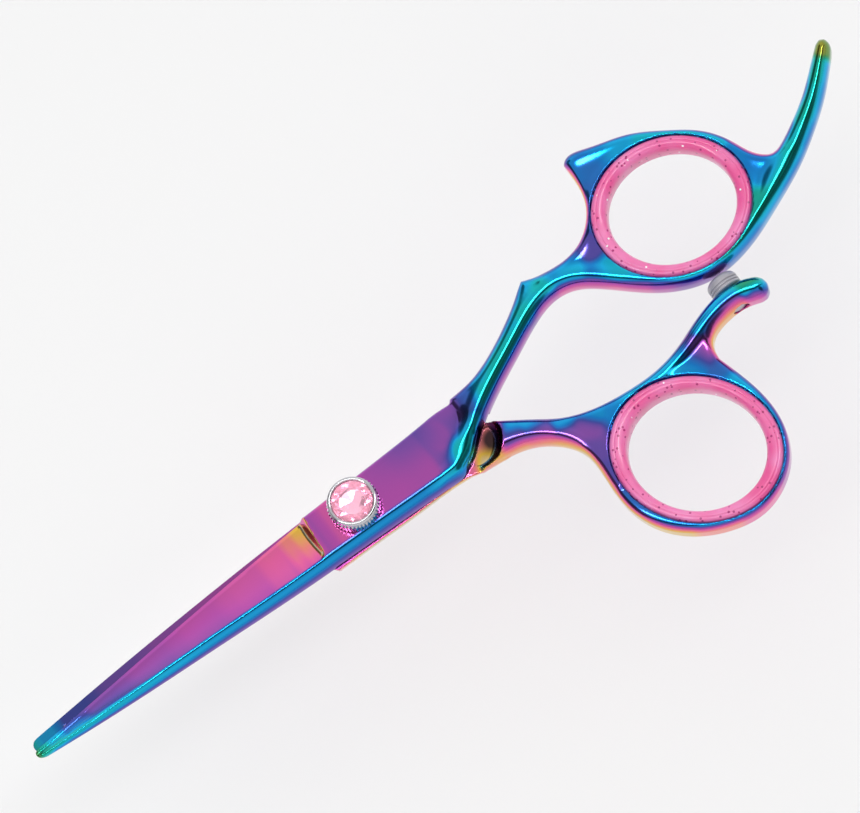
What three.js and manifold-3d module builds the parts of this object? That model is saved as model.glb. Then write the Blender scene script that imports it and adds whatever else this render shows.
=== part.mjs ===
// Thinning shears: a plain finger blade over a toothed thumb blade, on a dial-tensioned pivot.
// Millimetres. +X runs from the pivot to the handles, +Y to the finger ring, +Z to the dial.
// The origin is on the pivot axis, in the plane of the back.
import * as THREE from 'three';
import { mergeVertices } from 'three/addons/utils/BufferGeometryUtils.js';
import Module from 'manifold-3d';

const wasm = await Module();
wasm.setup();

// ---------- driving dimensions ----------
const THICKNESS = 5.6; // of a handle, and of the two halves together at the pivot
const RIDE_GAP = 0.1; // between the two halves' inner faces
const MIDDLE = THICKNESS / 2;
const FRONT_RIDE = MIDDLE + RIDE_GAP / 2;
const REAR_RIDE = MIDDLE - RIDE_GAP / 2;
const PLATE = REAR_RIDE; // thickness of one half at the pivot
const WEB = [1.2, THICKNESS - 1.2]; // z span of the sunk webs between the handle ridges

const HEEL = -8; // x where the flute ends and the pivot plate begins
const HEEL_RUN = 0.6; // length of the sloping step there
const PLATE_END = 16; // x where the plate's straight sides end
const LAP_END = 20.5; // x where the two halves' overlap ends
const SCOOP = 5.3; // radius of the scooped end of the overlap

// The thinning slots. Each is cut the share `depth` of the way from the cutting edge to the spine.
const TEETH = {
  first: -56.6, pitch: 1.7, slots: 26, slotWidth: 0.75, depth: 0.58, notchWidth: 0.4, notchDepth: 0.35,
};

// Ring ovals, measured at the outer edge of the soft insert's flange.
const FINGER_RING = { x: 68.1, y: 7.9, long: 12.85, short: 11.4, tilt: -20 };
const THUMB_RING = { x: 47.5, y: -26, long: 13.85, short: 11.75, tilt: -52.5 };
const BORE_OFFSET = -2.4; // from the flange edge in to the finger opening
const LIP_OFFSET = -1.1; // from the flange edge in to the metal lip's edge
const SEAT_OFFSET = 0.25; // from the flange edge out to the metal rim
const RING_STEPS = 32; // facets round a ring
const ROUND_SIDES = 24; // facets round the pivot's pieces
const LIP = [1.35, THICKNESS - 1.35]; // z span of the metal lip that the insert snaps over

const SHAFT_RADIUS = 2;
const SHAFT_TOP = 8;
const SHAFT_FLAT = 1.7; // from the axis to each of the flats that key the click plate
const HEAD = { radius: 3.9, height: 1.15, pinHole: 0.5, pinHoleAt: 2.3, pinHoleDepth: 0.6 };
const BUSHING = { bore: 2.15, outer: 2.8, flange: 3.6, flangeHeight: 0.3 };
const FIT = 0.06; // clearance round a fixed piece
const WASHER = { radius: 4.4, thickness: 0.45 };
const SPRING = { radius: 3.5, thickness: 0.3, dish: 0.25 };
const CLICK_PLATE = { bottom: 6.6, radius: 3.5, thickness: 0.4 };
const DIMPLES = { count: 8, at: 2.85, radius: 0.3, depth: 0.15 };
const DIAL = { bottom: 6, top: 8.5, radius: 4.2, cup: 3.75, cupTop: 7.2, ridges: 36, ridgeDepth: 0.22 };
const BEZEL = { radius: 4, inner: 3.35, height: 0.95, floor: 0.25 };
const CRYSTAL = {
  facets: 16, foot: 2.62, radius: 3.28, girdle: 0.35, shoulder: 2.82, shoulderAt: 0.9, table: 1.9, rise: 1.45,
};
const BUMPER = { x: 66.9, base: -8.05, tip: -5.35, radius: 2.65, bore: 1.28, boreTop: -6.3 };
const STUD = { radius: 1.2, end: -11.5, top: -6.4, hole: 1.35 };

// ---------- helpers ----------
const COLOURS = {
  rainbow: { color: 0x8a4fd0, roughness: 0.12, metalness: 1 },
  silicone: { color: 0xe86aa6, roughness: 0.35, metalness: 0 },
  bright: { color: 0xc8c8cc, roughness: 0.15, metalness: 1 },
  spring: { color: 0x9a9ca0, roughness: 0.35, metalness: 1 },
  slippery: { color: 0xf2f2ee, roughness: 0.4, metalness: 0 },
  crystal: { color: 0xf4b6cf, roughness: 0.02, metalness: 0 },
  rubber: { color: 0x9b98a0, roughness: 0.45, metalness: 0 },
};

const shears = new THREE.Group();

function addPart(name, finish, geometry) {
  const mesh = new THREE.Mesh(geometry, new THREE.MeshStandardMaterial(COLOURS[finish]));
  mesh.name = name;
  shears.add(mesh);
}

function toSolid(geometry) {
  const bare = geometry.clone();
  bare.deleteAttribute('normal');
  bare.deleteAttribute('uv');
  const merged = mergeVertices(bare, 1e-5);
  return new wasm.Manifold(new wasm.Mesh({
    numProp: 3,
    vertProperties: new Float32Array(merged.attributes.position.array),
    triVerts: new Uint32Array(merged.index.array),
  }));
}

function toGeometry(solid) {
  const mesh = solid.getMesh();
  const geometry = new THREE.BufferGeometry();
  geometry.setAttribute('position', new THREE.BufferAttribute(mesh.vertProperties, 3));
  geometry.setIndex(new THREE.BufferAttribute(mesh.triVerts, 1));
  return geometry;
}

function union(...solids) {
  return solids.reduce((whole, next) => whole.add(next));
}

// A smooth line of `count` points through the given ones.
function smooth(points, count) {
  const places = points.map(([x, y, width = 0]) => new THREE.Vector3(x, y, width));
  return new THREE.CatmullRomCurve3(places, false, 'centripetal').getSpacedPoints(count - 1);
}

// The value at x on the straight segments through [x, value] pairs.
function between(table, x) {
  const last = table.length - 1;
  let i = 0;
  while (i < last - 1 && x > table[i + 1][0]) i += 1;
  const [x0, v0] = table[i];
  const [x1, v1] = table[i + 1];
  return THREE.MathUtils.mapLinear(THREE.MathUtils.clamp(x, x0, x1), x0, x1, v0, v1);
}

// A flat plate with a closed outline of smooth edges that meet at corners.
function plate(edges, bottom, top) {
  const outline = [];
  for (const edge of edges) {
    const count = edge.length > 2 ? Math.ceil(edge.length * 1.5) : 2;
    const line = smooth(edge, count).slice(0, -1);
    outline.push(...line.map((point) => new THREE.Vector2(point.x, point.y)));
  }
  const settings = { depth: top - bottom, bevelEnabled: false };
  return toSolid(new THREE.ExtrudeGeometry(new THREE.Shape(outline), settings).translate(0, 0, bottom));
}

// A closed solid through rings of equally many points, with a fan at each end. Each ring runs
// anticlockwise as seen by someone it moves towards.
function loft(rings) {
  const size = rings[0].length;
  const positions = rings.flat(2);
  const index = [];
  for (let ring = 0; ring < rings.length - 1; ring += 1) {
    for (let i = 0; i < size; i += 1) {
      const a = ring * size + i;
      const b = ring * size + ((i + 1) % size);
      index.push(a, b, a + size, b, b + size, a + size);
    }
  }
  const end = (rings.length - 1) * size;
  for (let i = 1; i < size - 1; i += 1) {
    index.push(0, i + 1, i);
    index.push(end, end + i, end + i + 1);
  }
  const geometry = new THREE.BufferGeometry();
  geometry.setAttribute('position', new THREE.Float32BufferAttribute(positions, 3));
  geometry.setIndex(index);
  return toSolid(geometry);
}

// A ridge of rounded section along [x, y, half width] points, drawn in at both ends.
function ridge(points, steps, halfThickness = MIDDLE) {
  const sides = 8;
  const endScale = 0.55;
  const path = smooth(points, steps);
  const rings = path.map((point, i) => {
    const before = path[Math.max(i - 1, 0)];
    const after = path[Math.min(i + 1, path.length - 1)];
    const heading = Math.atan2(after.y - before.y, after.x - before.x);
    const isEnd = i === 0 || i === path.length - 1;
    const scale = isEnd ? endScale : 1;
    return Array.from({ length: sides }, (_, k) => {
      const turn = (k / sides) * 2 * Math.PI;
      const across = point.z * scale * Math.cos(turn);
      const up = halfThickness * scale * Math.sin(turn);
      return [point.x - across * Math.sin(heading), point.y + across * Math.cos(heading), MIDDLE + up];
    });
  });
  return loft(rings);
}

// A point on a ring oval, moved outward by `offset`.
function onRing(ring, angle, offset) {
  const tilt = THREE.MathUtils.degToRad(ring.tilt);
  const point = new THREE.Vector2(ring.long * Math.cos(angle), ring.short * Math.sin(angle));
  const normal = new THREE.Vector2(ring.short * Math.cos(angle), ring.long * Math.sin(angle)).normalize();
  point.addScaledVector(normal, offset).rotateAround(new THREE.Vector2(), tilt);
  return [ring.x + point.x, ring.y + point.y];
}

// A closed band round a ring oval, with a section of [offset, z] points.
function band(ring, section) {
  const positions = [];
  const index = [];
  const size = section.length;
  for (let step = 0; step < RING_STEPS; step += 1) {
    const here = step * size;
    const next = ((step + 1) % RING_STEPS) * size;
    for (let i = 0; i < size; i += 1) {
      const [offset, z] = section[i];
      positions.push(...onRing(ring, (step / RING_STEPS) * 2 * Math.PI, offset), z);
      const a = here + i;
      const b = here + ((i + 1) % size);
      const c = next + i;
      const d = next + ((i + 1) % size);
      index.push(a, c, b, b, c, d);
    }
  }
  const geometry = new THREE.BufferGeometry();
  geometry.setAttribute('position', new THREE.Float32BufferAttribute(positions, 3));
  geometry.setIndex(index);
  return geometry;
}

// A disc with a ring oval's outline.
function ovalDisc(ring, offset, bottom, top) {
  const angles = Array.from({ length: RING_STEPS }, (_, i) => (i / RING_STEPS) * 2 * Math.PI);
  const outline = angles.map((angle) => onRing(ring, angle, offset));
  return loft([bottom, top].map((z) => outline.map(([x, y]) => [x, y, z])));
}

// A turned solid about Z, from [radius, z] points that start and end on the axis or close on themselves.
function turned(profile, sides = ROUND_SIDES) {
  const points = profile.map(([radius, z]) => new THREE.Vector2(radius, z));
  return new THREE.LatheGeometry(points, sides).rotateX(Math.PI / 2);
}

function disc(radius, bottom, top, sides = ROUND_SIDES) {
  return turned([[0, bottom], [radius, bottom], [radius, top], [0, top]], sides);
}

function washerGeometry(inner, outer, bottom, top) {
  return turned([[inner, bottom], [outer, bottom], [outer, top], [inner, top], [inner, bottom]]);
}

function block(x0, x1, y0, y1, z0, z1) {
  const box = new THREE.BoxGeometry(x1 - x0, y1 - y0, z1 - z0);
  return toSolid(box.translate((x0 + x1) / 2, (y0 + y1) / 2, (z0 + z1) / 2));
}

// ---------- the blades ----------
// Each table is [x, y] along the closed shears.
const FRONT_BLADE = {
  spine: [[-63, -0.2], [-62.6, -0.8], [-61.8, -1.25], [-50, -2.6], [-30, -4.15], [-10, -5.35], [16, -6.2]],
  edge: [[-63, 0.45], [-62.6, 0.8], [-61.8, 0.95], [-50, 1.7], [-30, 3], [-10, 3.95], [-8, 4.3],
    [16, 4.6]],
};
const REAR_BLADE = {
  spine: [[-62.6, 1.5], [-62.3, 2], [-61.6, 2.3], [-50, 3], [-30, 3.8], [-10, 4.25], [16, 4.9]],
  edge: [[-62.6, 0.6], [-62.3, 0.3], [-61.6, 0.1], [-50, -1.2], [-30, -3.2], [-10, -4.9], [-8, -5.7],
    [16, -6.4]],
};
const BLADE_HEIGHT = [
  [-63, 0.9], [-61.8, 1.1], [-50, 1.45], [-30, 1.95], [HEEL - HEEL_RUN, 2.4], [HEEL, PLATE],
];
const SPINE_WIDTH = [[-63, 0.25], [-61.8, 0.7], [-50, 1.2], [HEEL, 2], [PLATE_END, 2]];
const EDGE_HEIGHT = 0.45; // of the bevel behind the cutting edge
const EDGE_WIDTH = 0.6;
const FLUTE_DEPTH = 0.25; // of the hollow grind at its middle

// A blade's section as [distance from the spine, height above the ride plane].
function bladeSection(x, width) {
  const height = between(BLADE_HEIGHT, x);
  const rounded = between(SPINE_WIDTH, x);
  const isPlate = x >= HEEL;
  const bevel = Math.min(EDGE_WIDTH, width / 4);
  const flute = (t) => THREE.MathUtils.lerp(height, EDGE_HEIGHT, t) - FLUTE_DEPTH * 4 * t * (1 - t);
  const floor = width - bevel - rounded;
  return [
    [0.1, 0],
    [0, 0.3 * height],
    [0.12 * rounded, 0.62 * height],
    [0.45 * rounded, 0.9 * height],
    [rounded, height],
    [rounded + floor / 3, isPlate ? height : flute(1 / 3)],
    [rounded + (floor * 2) / 3, isPlate ? height : flute(2 / 3)],
    [width - bevel, isPlate ? height : EDGE_HEIGHT],
    [width, isPlate ? 0.72 * height : 0.1],
    [width, 0],
  ];
}

// side is 1 for the front half and -1 for the rear half, which faces the other way.
function blade(lines, side, ride) {
  const start = lines.spine[0][0];
  const stations = [0, 0.4, 1.2, 6, 12, 22, 32, 42, 48, 52].map((along) => start + along)
    .concat([HEEL - HEEL_RUN, HEEL, 0, 8, PLATE_END]);
  return loft(stations.map((x) => {
    const spine = between(lines.spine, x);
    const width = Math.abs(between(lines.edge, x) - spine);
    const section = bladeSection(x, width).reverse();
    return section.map(([along, up]) => [x, spine + side * along, ride + side * up]);
  }));
}

// The thinning slots, open at the rear blade's cutting edge, and a notch in each tooth's tip.
function thinningCuts() {
  const cuts = [];
  for (let i = 0; i < TEETH.slots; i += 1) {
    const x = TEETH.first + i * TEETH.pitch;
    const edge = between(REAR_BLADE.edge, x);
    const spine = between(REAR_BLADE.spine, x);
    const root = THREE.MathUtils.lerp(edge, spine, TEETH.depth);
    const half = TEETH.slotWidth / 2;
    cuts.push(block(x - half, x + half, edge - 1, root, -1, THICKNESS));
    const tooth = x + TEETH.pitch / 2;
    const tip = between(REAR_BLADE.edge, tooth);
    const outside = tip - TEETH.notchDepth * 2;
    const spread = TEETH.notchWidth * 1.5;
    const corners = [[tooth - spread, outside], [tooth + spread, outside], [tooth, tip + TEETH.notchDepth]];
    cuts.push(plate(corners.map((corner, k) => [corner, corners[(k + 1) % 3]]), -1, THICKNESS));
  }
  return union(...cuts);
}

// ---------- the handles ----------
const FINGER_OUTLINE = [
  [[24, 5.3], [30, 6.3], [36, 9.1], [40, 11.8], [42.3, 13.4]],
  [[42.3, 13.4], [45, 12.3], [49, 11.9], [53.9, 13.4], [56.8, 16.1], [58.2, 20.3], [58.7, 24.3]],
  [[58.7, 24.3], [59.3, 24.7], [63.5, 24.1], [69.7, 21.85], [75, 18.4], [79.7, 14.2], [82, 10.1],
    [83.5, 6.5], [86, 5.05], [90, 6.5], [94.7, 9.35], [99.7, 13.6], [101.8, 14.8]],
  [[101.8, 14.8], [102.5, 14.2], [101.2, 12], [97, 7.8], [92.3, 4.15], [87.3, 0.9], [80, -2.3], [73.5, -4.5],
    [68, -5.1], [63, -4.2], [58, -1.4], [54, 2.2], [50, 6.2], [45, 7.8], [40, 6.6], [34, 4.1], [28, 1],
    [24, -0.6]],
  [[24, -0.6], [24, 5.3]],
];
const FINGER_SHANK = [
  [15, -4.3, 1.5], [18, -3.8, 1.8], [21, -1.5, 1.9], [25, 1.6, 1.95], [30, 4.15, 1.95], [35, 6.5, 1.95],
  [40, 8.8, 2], [45, 9.7, 1.9], [49, 8.7, 1.9], [52.2, 6.3, 2], [55.6, 2.9, 1.7], [58.6, 0, 1.5],
  [62, -2.3, 1.3], [66, -3.6, 1.3], [70, -3.8, 1.3], [75, -2.6, 1.4], [80, -0.4, 1.9], [84, 1.6, 2.2],
  [88, 3.5, 2.1], [92, 5.9, 1.9], [96, 8.7, 1.7], [99.5, 11.8, 1.5], [101.6, 13.7, 1.2],
];
const FIN_EDGE = [
  [49, 10.7, 1.1], [53, 11.9, 1.1], [56, 14.4, 1], [57.9, 17.5, 0.9], [59.2, 21, 0.9], [59.8, 23.6, 0.8],
];
const FIN_BACK = [
  [59.6, 23.7, 0.8], [64, 22.8, 1.1], [69, 20.9, 1.1], [74, 17.8, 1], [79, 13, 0.9], [81.3, 8.5, 0.9],
];
const THUMB_OUTLINE = [
  [[20.5, 2.4], [23.5, -0.6], [25.8, -2.3], [30, -5.4], [34, -8.3], [38.4, -10.2], [45.3, -11.5],
    [52.6, -11.7], [58, -10.3], [62, -8.9], [65, -8.15], [68, -8.15], [70, -8.6], [71.6, -9.6]],
  [[71.6, -9.6], [72.2, -11], [71.4, -12.7], [70.4, -13]],
  [[70.4, -13], [67.5, -12.1], [64.5, -12.1], [61.5, -12.8], [59.4, -14.3], [58.9, -16.3]],
  [[58.9, -16.3], [60.3, -20.7], [61.4, -26], [61, -31.5], [58.8, -36.1], [54.7, -39.3], [49.9, -40.6],
    [44.2, -39.6], [39.1, -36.7], [35.1, -32.2], [33.2, -26.3], [33.6, -20.5], [34, -16.9], [33.2, -13.9],
    [31.2, -11.6], [28, -9.3], [24, -7.9], [20.5, -7.2]],
  [[20.5, -7.2], [20.5, 2.4]],
];
const THUMB_SHANK = [
  [18, -3.8, 2], [21, -4.4, 2.6], [25, -5.4, 2.6], [28, -6.7, 2.2], [31, -8.9, 1.9], [33.6, -11.9, 1.6],
  [35, -15.3, 1.2], [34.9, -19.5, 1.15], [34.4, -24, 1.1], [34.9, -28.5, 1.1],
];
const THUMB_TOP = [
  [27, -4.9, 1.2], [31, -7.6, 1.15], [35, -9.9, 1.1], [40, -11.5, 1], [46, -12.6, 1], [52, -12.7, 1],
  [56, -12.1, 1.2], [59.5, -11.2, 1.7], [62.5, -10.4, 1.95], [66, -10, 1.95], [69, -10.4, 1.95],
  [70.6, -11.1, 1.7],
];

// The ridge that stands round a ring's insert.
function rim(ring, width) {
  const from = -0.3;
  const middle = (from + width) / 2;
  return toSolid(band(ring, [
    [from, 0.5], [middle, 0], [width - 0.3, 0.5], [width, MIDDLE - 0.8],
    [width, MIDDLE + 0.8], [width - 0.3, THICKNESS - 0.5], [middle, THICKNESS], [from, THICKNESS - 0.5],
  ]));
}

// What the insert and the finger take out of a ring.
function ringRoom(ring) {
  return union(
    ovalDisc(ring, LIP_OFFSET, -1, THICKNESS + 1),
    ovalDisc(ring, SEAT_OFFSET, -1, LIP[0]),
    ovalDisc(ring, SEAT_OFFSET, LIP[1], THICKNESS + 1),
  );
}

// The room that the other half swings through: straight to LAP_END, then a scooped end.
function lapRoom(scoopY, bottom, top) {
  const scoop = toSolid(disc(SCOOP, bottom, top).translate(LAP_END, scoopY, 0));
  return union(block(HEEL - 1, LAP_END, -12, 12, bottom, top), scoop);
}

function fingerBlade() {
  const plateEnd = plate([
    [[12, -5.9], [PLATE_END, -6.05], [17, -5.75], [20, -3.4], [23.3, -1], [27, 0.7]],
    [[27, 0.7], [29, 6], [20, 4.9], [12, 4.55]],
    [[12, 4.55], [12, -5.9]],
  ], FRONT_RIDE, THICKNESS - 0.35);
  const handle = union(
    plate(FINGER_OUTLINE, ...WEB),
    ridge(FINGER_SHANK, 32),
    ridge(FIN_EDGE, 9, 2.2),
    ridge(FIN_BACK, 9, 2.4),
    rim(FINGER_RING, 1.4),
  ).subtract(lapRoom(1.3, -1, FRONT_RIDE));
  const bore = toSolid(disc(BUSHING.outer + FIT, -1, THICKNESS + 1));
  return union(blade(FRONT_BLADE, 1, FRONT_RIDE), plateEnd, handle)
    .subtract(ringRoom(FINGER_RING))
    .subtract(bore);
}

function thumbBlade() {
  const plateEnd = plate([
    [[12, -6.1], [PLATE_END, -6.25], [20, -6.95], [24, -7.9]],
    [[24, -7.9], [25.8, -2.3]],
    [[25.8, -2.3], [21, 1], [PLATE_END, 4.2], [12, 4.55]],
    [[12, 4.55], [12, -6.1]],
  ], 0.35, REAR_RIDE);
  const handle = union(
    plate(THUMB_OUTLINE, ...WEB),
    ridge(THUMB_SHANK, 14),
    ridge(THUMB_TOP, 16),
    rim(THUMB_RING, 1.65),
  ).subtract(lapRoom(-2.5, REAR_RIDE, THICKNESS + 1));
  const across = new THREE.CylinderGeometry(STUD.hole, STUD.hole, 8, 24).translate(BUMPER.x, -11, MIDDLE);
  const screwRoom = union(
    toSolid(disc(HEAD.radius + FIT, -1, HEAD.height + FIT)),
    toSolid(disc(SHAFT_RADIUS + FIT, -1, THICKNESS)),
    toSolid(disc(WASHER.radius + FIT, REAR_RIDE - WASHER.thickness, THICKNESS)),
  );
  return union(blade(REAR_BLADE, -1, REAR_RIDE), plateEnd, handle)
    .subtract(thinningCuts())
    .subtract(ringRoom(THUMB_RING))
    .subtract(toSolid(across))
    .subtract(screwRoom);
}

// ---------- soft parts ----------
// A grommet that snaps over the metal lip, with a flange on each face.
function ringInsert(ring) {
  const groove = LIP_OFFSET - 0.1;
  const low = LIP[0] - 0.1;
  const flange = (side) => [
    [BORE_OFFSET, 1.1], [BORE_OFFSET + 0.5, 2.3], [-0.9, 2.55], [0, 2], [0, MIDDLE - low], [groove, MIDDLE - low],
  ].map(([offset, out]) => [offset, MIDDLE + side * out]);
  const section = [...flange(1), ...flange(-1).reverse()];
  return band(ring, section.reverse());
}

// The soft cap, turned about the line from the arm to the finger ring, with two grooves.
function bumper() {
  const { base, tip, radius, bore, boreTop } = BUMPER;
  const groove = radius - 0.25;
  const profile = [
    [bore, base], [radius, base], [radius, base + 0.5], [groove, base + 0.6],
    [groove, base + 0.75], [radius, base + 0.85], [radius, base + 1.25], [groove, base + 1.35],
    [groove, base + 1.5], [radius, base + 1.6], [radius - 0.2, tip - 0.6], [radius - 1, tip - 0.12],
    [0, tip], [0, boreTop], [bore, boreTop], [bore, base],
  ].map(([r, y]) => new THREE.Vector2(r, y));
  return new THREE.LatheGeometry(profile, ROUND_SIDES).translate(BUMPER.x, 0, MIDDLE);
}

function bumperStud() {
  const length = STUD.top - STUD.end;
  const stud = new THREE.CylinderGeometry(STUD.radius, STUD.radius, length, 24);
  return stud.translate(BUMPER.x, (STUD.top + STUD.end) / 2, MIDDLE);
}

// ---------- the pivot, from the back up ----------
function pivotScrew() {
  const shaft = [[0, 0], [HEAD.radius, 0], [HEAD.radius, HEAD.height], [SHAFT_RADIUS, HEAD.height],
    [SHAFT_RADIUS, SHAFT_TOP - 0.3], [SHAFT_RADIUS - 0.3, SHAFT_TOP], [0, SHAFT_TOP]];
  const flatFrom = THICKNESS + BUSHING.flangeHeight;
  const pinHoles = [-1, 1].map((side) => {
    const hole = disc(HEAD.pinHole, -1, HEAD.pinHoleDepth, 16);
    return toSolid(hole.translate(side * HEAD.pinHoleAt, 0, 0));
  });
  return toSolid(turned(shaft))
    .subtract(union(...pinHoles))
    .subtract(block(SHAFT_FLAT, 3, -3, 3, flatFrom, SHAFT_TOP + 1))
    .subtract(block(-3, -SHAFT_FLAT, -3, 3, flatFrom, SHAFT_TOP + 1));
}

function pivotBushing() {
  const { bore, outer, flange, flangeHeight } = BUSHING;
  const seat = THICKNESS + FIT;
  const top = seat + flangeHeight - FIT;
  return turned([[bore, FRONT_RIDE + FIT], [outer, FRONT_RIDE + FIT], [outer, seat], [flange, seat],
    [flange, top], [bore, top], [bore, FRONT_RIDE + FIT]]);
}

function rideWasher() {
  const bottom = REAR_RIDE - WASHER.thickness + 0.03;
  return washerGeometry(SHAFT_RADIUS + FIT, WASHER.radius, bottom, bottom + WASHER.thickness);
}

// A dished washer: higher at its bore than at its rim.
function springWasher() {
  const bottom = THICKNESS + BUSHING.flangeHeight + FIT;
  const inner = SHAFT_RADIUS + FIT;
  const { radius, thickness, dish } = SPRING;
  return turned([[inner, bottom + dish], [radius, bottom], [radius, bottom + thickness],
    [inner, bottom + dish + thickness], [inner, bottom + dish]]);
}

// Keyed to the screw's flats, with a ring of dimples that the dial clicks over.
function clickPlate() {
  const { bottom, radius, thickness } = CLICK_PLATE;
  const top = bottom + thickness;
  const key = SHAFT_FLAT + FIT;
  const bore = toSolid(disc(SHAFT_RADIUS + FIT, bottom - 1, top + 1))
    .intersect(block(-key, key, -3, 3, bottom - 1, top + 1));
  const dimple = toSolid(disc(DIMPLES.radius, top - DIMPLES.depth, top + 1, 6).translate(DIMPLES.at, 0, 0));
  const dimples = Array.from({ length: DIMPLES.count }, (_, i) => dimple.rotate([0, 0, (i / DIMPLES.count) * 360]));
  return toSolid(disc(radius, bottom, top)).subtract(bore).subtract(union(...dimples));
}

// Ridged round its side, hollow below for the washers, bored for the screw.
function dialNut() {
  const points = Array.from({ length: DIAL.ridges * 2 }, (_, i) => {
    const turn = (i / (DIAL.ridges * 2)) * 2 * Math.PI;
    const radius = i % 2 ? DIAL.radius - DIAL.ridgeDepth : DIAL.radius;
    return [radius * Math.cos(turn), radius * Math.sin(turn)];
  });
  const ridged = loft([DIAL.bottom, DIAL.top].map((z) => points.map(([x, y]) => [x, y, z])));
  return ridged
    .subtract(toSolid(disc(DIAL.cup, DIAL.bottom - 1, DIAL.cupTop)))
    .subtract(toSolid(disc(SHAFT_RADIUS + FIT, DIAL.bottom - 1, SHAFT_TOP + 0.1)));
}

function crystalBezel() {
  const bottom = DIAL.top + 0.03;
  const { radius, inner, height, floor } = BEZEL;
  return turned([[0, bottom], [radius - 0.15, bottom], [radius, bottom + 0.15], [radius, bottom + height - 0.3],
    [radius - 0.3, bottom + height], [inner, bottom + height - 0.1], [inner, bottom + floor],
    [0, bottom + floor]]);
}

function crystal() {
  const bottom = DIAL.top + BEZEL.floor + 0.06;
  const { facets, foot, radius, girdle, shoulder, shoulderAt, table, rise } = CRYSTAL;
  return turned([[0, bottom], [foot, bottom], [radius, bottom + girdle], [shoulder, bottom + shoulderAt],
    [table, bottom + rise], [0, bottom + rise]], facets);
}

addPart('finger_blade', 'rainbow', toGeometry(fingerBlade()));
addPart('thumb_blade', 'rainbow', toGeometry(thumbBlade()));
addPart('finger_ring_insert', 'silicone', ringInsert(FINGER_RING));
addPart('thumb_ring_insert', 'silicone', ringInsert(THUMB_RING));
addPart('bumper', 'rubber', bumper());
addPart('bumper_stud', 'spring', bumperStud());
addPart('pivot_screw', 'bright', toGeometry(pivotScrew()));
addPart('pivot_bushing', 'slippery', pivotBushing());
addPart('ride_washer', 'slippery', rideWasher());
addPart('spring_washer', 'spring', springWasher());
addPart('click_plate', 'spring', toGeometry(clickPlate()));
addPart('dial_nut', 'bright', toGeometry(dialNut()));
addPart('crystal_bezel', 'bright', crystalBezel());
addPart('crystal', 'crystal', crystal());

export default shears;
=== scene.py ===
"""Looks of the thinning shears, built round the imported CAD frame.

Lengths are millimetres until a mesh is made. The origin is on the pivot axis in the plane of the flat back,
with +X towards the handles, +Y towards the finger ring and +Z out of the front.
"""
import math

import bpy
import numpy as np
from mathutils import Matrix, Vector


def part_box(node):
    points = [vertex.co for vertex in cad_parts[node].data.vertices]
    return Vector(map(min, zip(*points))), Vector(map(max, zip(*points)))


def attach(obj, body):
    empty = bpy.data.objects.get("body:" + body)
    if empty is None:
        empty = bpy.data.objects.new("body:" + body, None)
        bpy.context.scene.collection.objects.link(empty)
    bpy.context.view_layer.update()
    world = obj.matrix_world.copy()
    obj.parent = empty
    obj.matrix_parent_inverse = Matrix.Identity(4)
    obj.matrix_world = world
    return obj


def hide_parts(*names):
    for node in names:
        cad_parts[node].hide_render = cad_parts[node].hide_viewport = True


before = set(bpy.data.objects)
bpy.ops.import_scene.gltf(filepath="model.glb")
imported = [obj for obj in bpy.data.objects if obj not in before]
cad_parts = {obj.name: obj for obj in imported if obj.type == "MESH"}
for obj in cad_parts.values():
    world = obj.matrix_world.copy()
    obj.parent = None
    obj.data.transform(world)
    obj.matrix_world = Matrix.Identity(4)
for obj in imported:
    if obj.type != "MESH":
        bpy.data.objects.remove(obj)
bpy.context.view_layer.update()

MM = 0.001


def cad_box(node):
    """A CAD node's lowest and highest corners in millimetres."""
    low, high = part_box(node)
    return np.array(low) / MM, np.array(high) / MM


# ---------- sizes, from the frame where the frame has them ----------
THICKNESS = cad_box("finger_blade")[1][2]
MIDDLE = THICKNESS / 2
RIDE_GAP = 0.1
FRONT_RIDE = MIDDLE + RIDE_GAP / 2
REAR_RIDE = MIDDLE - RIDE_GAP / 2
BLADE_TIP = -61  # x where the tip's rounding starts
PLATE_END = 16  # x where the pivot plate's straight sides end
LAP_END = 20.5  # x where the overlap of the two halves ends in a round scoop
SCOOP_Y = {"finger": 1.3, "thumb": -2.5}
SCOOP = 5.3
SCOOP_FILLET = 2.6
RINGS = {"finger": (12.85, 11.4, -20), "thumb": (13.85, 11.75, -52.5)}  # half axes and tilt
RIMS = {"finger": (-0.4, 1.05), "thumb": (-0.4, 1.35)}  # offsets of the metal rim from a ring's oval
LIP_OFFSET = -1.1
SEAT_OFFSET = 0.15
LIP_DEPTH = 1.35  # of each face's seat
BELOW, ABOVE = -1, 9  # heights clear of the steel on both sides
# Rooms about the pivot axis: radius, and the heights that they run between.
SHAFT_ROOM = (2.06, BELOW, ABOVE)
HEAD_ROOM = (3.96, BELOW, 1.21)
WASHER_ROOM = (4.46, 2.3, ABOVE)
BUSHING_ROOM = (2.86, BELOW, ABOVE)
STUD_AT = (cad_box("bumper_stud")[0][0] + cad_box("bumper_stud")[1][0]) / 2  # x
STUD_HOLE = 1.35
ARM_START = -20  # y above which the stud's hole is cut
TEETH = {"first": -56.6, "pitch": 1.7, "slots": 26, "width": 0.75, "depth": 0.58, "notch": 0.35}
NOTCH_SLOPE = 1.6


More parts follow.
